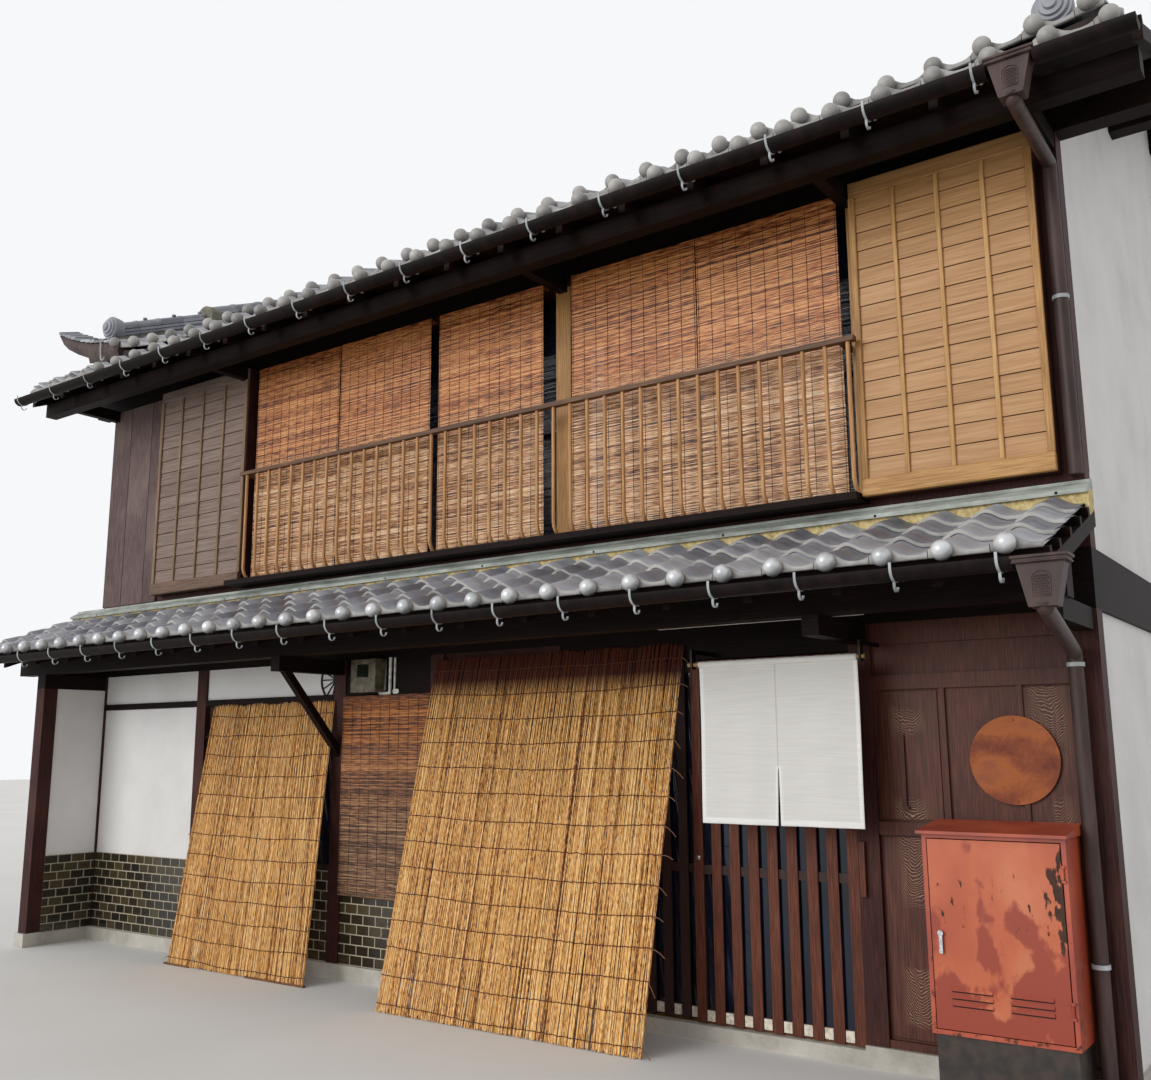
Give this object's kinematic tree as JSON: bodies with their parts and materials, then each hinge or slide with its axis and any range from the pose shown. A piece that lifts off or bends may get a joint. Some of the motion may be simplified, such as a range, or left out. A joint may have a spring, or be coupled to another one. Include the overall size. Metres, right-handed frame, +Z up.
{
  "type": "machiya townhouse",
  "caption": "Two-storey timber row house with tiled pent roof, double eave, lattice sliding doors, reed screens and blinds, and a wall cabinet for a hose.",
  "frame": {"origin": "on the ground at the middle of the street front, in the plane of the faces of the front posts", "axes": "+X along the street front to the right as seen from the street, +Y into the house, +Z up"},
  "size_m": [9.3105, 9.2146, 7.5091],
  "materials": {
    "concrete": "cast concrete and stone",
    "dark_timber": "stained dark brown",
    "floor_timber": "planed boards",
    "plaster": "white lime plaster",
    "glazed_tile": "dark glazed brick tile with pale joints",
    "glass": "clear pane",
    "board_wall": "weathered vertical boards",
    "grey_boards": "weathered lapped boards",
    "honey_boards": "oiled lapped boards",
    "red_timber": "stained red brown lattice",
    "rust": "rusted sheet iron",
    "red_paint": "faded red enamel with rust",
    "base_metal": "dark painted steel",
    "bright_metal": "plated lever",
    "cloth": "off-white plain weave",
    "bamboo": "bamboo pole",
    "black_iron": "black painted iron",
    "reed": "golden dried reeds tied with cord",
    "blind": "thin split reeds tied with cord",
    "meter": "cream moulded case",
    "lamp_white": "white case and tube",
    "roof_tile": "smoked grey clay tile",
    "mortar": "cream lime mortar",
    "copper": "verdigris copper sheet",
    "gutter_brown": "brown moulded gutter",
    "pipe_brown": "brown moulded pipe",
    "rail_timber": "weathered brown rail",
    "hook_metal": "galvanised flat bar"
  },
  "bodies": {
    "house": {"foundation": "concrete", "ground_floor": "concrete", "upper_floor": "floor_timber", "ground_posts": "dark_timber", "storey_beams": "dark_timber", "front_walls": "plaster", "front_rails": "dark_timber", "wainscot": "glazed_tile", "ground_windows": "dark_timber", "ground_glass": "glass", "wing_wall": "plaster", "left_wall_ground": "plaster", "left_wall_upper": "board_wall", "party_wall": "plaster", "rear_walls": "plaster", "door_frame": "dark_timber", "right_bay_panelling": "dark_timber", "iron_disc": "rust", "cabinet_base": "base_metal", "cabinet_body": "red_paint", "cabinet_lid": "red_paint", "noren": "cloth", "noren_pole": "bamboo", "noren_brackets": "black_iron", "small_reed_screen": "reed", "large_reed_screen": "reed", "ground_blind": "blind", "meter_box": "meter", "lamp": "lamp_white", "pent_eave_frame": "dark_timber", "pent_boarding": "dark_timber", "pent_tiles": "roof_tile", "pent_mortar": "mortar", "pent_flashing": "copper", "pent_gutter": "gutter_brown", "pent_downpipe": "pipe_brown", "upper_front_frame": "dark_timber", "upper_board_wall": "board_wall", "left_shutter_box": "grey_boards", "right_shutter_box": "honey_boards", "handrail": "rail_timber", "upper_blinds": "blind", "upper_windows": "dark_timber", "upper_glass": "glass", "main_purlins": "dark_timber", "main_boarding": "dark_timber", "main_eave_course": "roof_tile", "main_roof_tiles": "roof_tile", "main_gutter": "gutter_brown", "main_downpipe": "pipe_brown", "ridges": "roof_tile", "hooks_and_clamps": "hook_metal", "fan_grille": "black_iron"},
    "left_leaf": {"left_leaf": "red_timber", "left_leaf_glass": "glass"},
    "right_leaf": {"right_leaf": "red_timber", "right_leaf_glass": "glass"},
    "cabinet_door": {"cabinet_door": "red_paint"},
    "cabinet_handle": {"cabinet_handle": "bright_metal"}
  },
  "joints": [
    {"name": "left_leaf_slide", "type": "slide", "parent": "house", "child": "left_leaf", "axis": [1, 0, 0], "range_m": [0, 0.85]},
    {"name": "right_leaf_slide", "type": "slide", "parent": "house", "child": "right_leaf", "axis": [-1, 0, 0], "range_m": [0, 0.85]},
    {"name": "cabinet_door_hinge", "type": "hinge", "parent": "house", "child": "cabinet_door", "pos_m": [4.03, -0.339, 0.7], "axis": [0, 0, 1], "range_deg": [0, 110]},
    {"name": "cabinet_handle_turn", "type": "hinge", "parent": "cabinet_door", "child": "cabinet_handle", "pos_m": [3.47, -0.34, 0.735], "axis": [0, -1, 0], "range_deg": [0, 90]}
  ]
}
